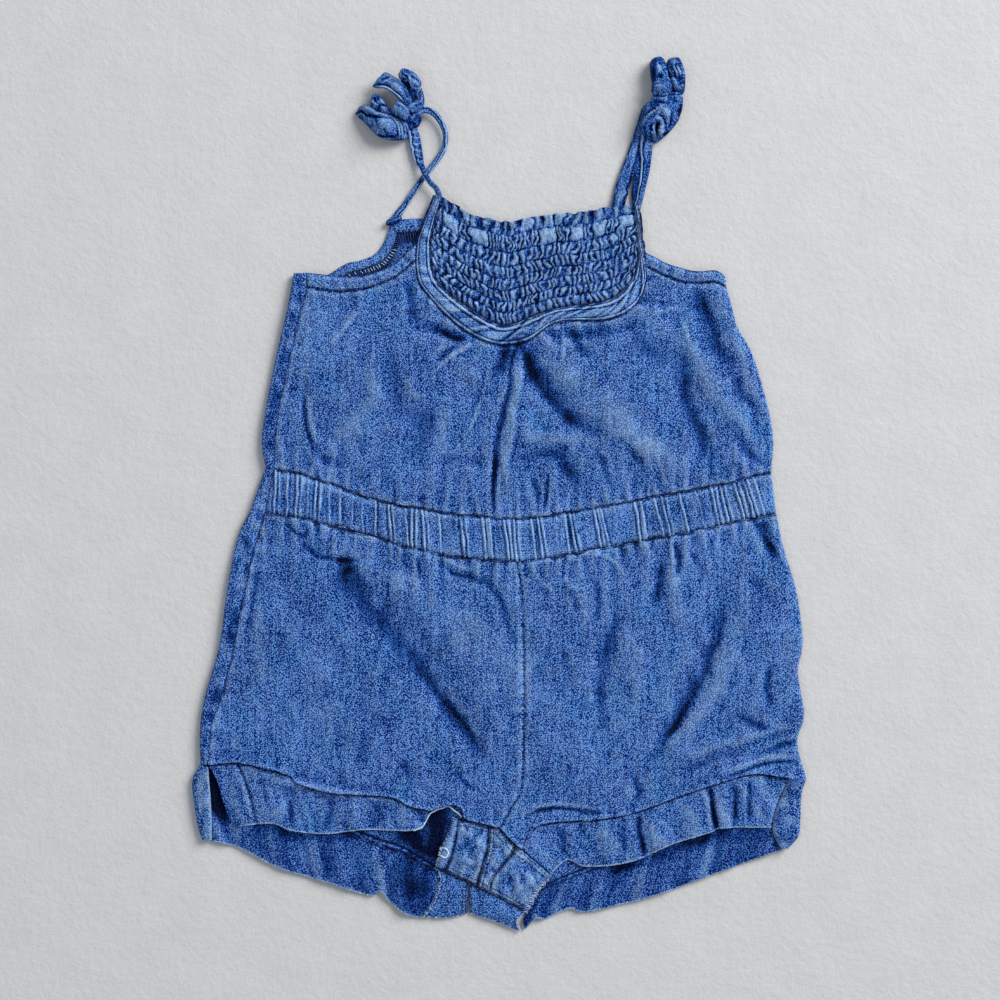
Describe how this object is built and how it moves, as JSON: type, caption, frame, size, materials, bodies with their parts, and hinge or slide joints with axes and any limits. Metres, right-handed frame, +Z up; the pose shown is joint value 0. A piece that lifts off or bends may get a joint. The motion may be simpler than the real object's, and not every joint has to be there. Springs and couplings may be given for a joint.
{
  "type": "baby romper",
  "caption": "Sleeveless baby romper laid flat: shirred yoke with a curved band, elastic waist, puffed shorts with loose cuffs, and shoulder ties knotted in bows.",
  "frame": {"origin": "middle of the garment's bounding box, on the surface it lies on", "axes": "+Z up from the surface, +Y from the hems to the shoulder ties, +X from the garment's right side to its left side"},
  "size_m": [0.3191, 0.4546, 0.0115],
  "materials": {
    "chambray": "washed indigo chambray, dry matt weave with pale slubs and worn ridges",
    "chambray_bands": "the same chambray doubled and topstitched, paler along its edges",
    "chambray_ties": "the same chambray as narrow turned ties, worn pale on the folds",
    "chambray_inside": "the cloth's duller, darker wrong side and the plain back"
  },
  "bodies": {
    "root": {"front_bodice": "chambray", "yoke_smocked": "chambray", "front_waistband": "chambray", "front_shorts_left": "chambray", "front_shorts_right": "chambray", "yoke_band": "chambray_bands", "front_armhole_band_left": "chambray_bands", "front_armhole_band_right": "chambray_bands", "front_cuff_left": "chambray_bands", "front_cuff_right": "chambray_bands", "cuff_facing_left": "chambray_bands", "back_armhole_band_left": "chambray_bands", "back_armhole_band_right": "chambray_bands", "back_neckband": "chambray_bands", "gusset_edge_left": "chambray_bands", "gusset_left": "chambray_bands", "gusset_middle": "chambray_bands", "gusset_right": "chambray_bands", "back_cuff_end_left": "chambray_bands", "back_cuff_end_right": "chambray_bands", "strap_left_front": "chambray_ties", "strap_left_back": "chambray_ties", "strap_right_front": "chambray_ties", "strap_right_back": "chambray_ties", "bow_left_knot": "chambray_ties", "bow_left_loop_upper": "chambray_ties", "bow_left_loop_lower": "chambray_ties", "bow_left_tail_upper": "chambray_ties", "bow_left_tail_small": "chambray_ties", "bow_right_knot": "chambray_ties", "bow_right_ear_left": "chambray_ties", "bow_right_ear_right": "chambray_ties", "bow_right_loop_lower": "chambray_ties", "back_bodice": "chambray_inside", "back_waistband": "chambray_inside", "back_shorts_left": "chambray_inside", "back_shorts_right": "chambray_inside", "back_cuff_left": "chambray_inside", "back_cuff_right": "chambray_inside"}
  },
  "joints": []
}
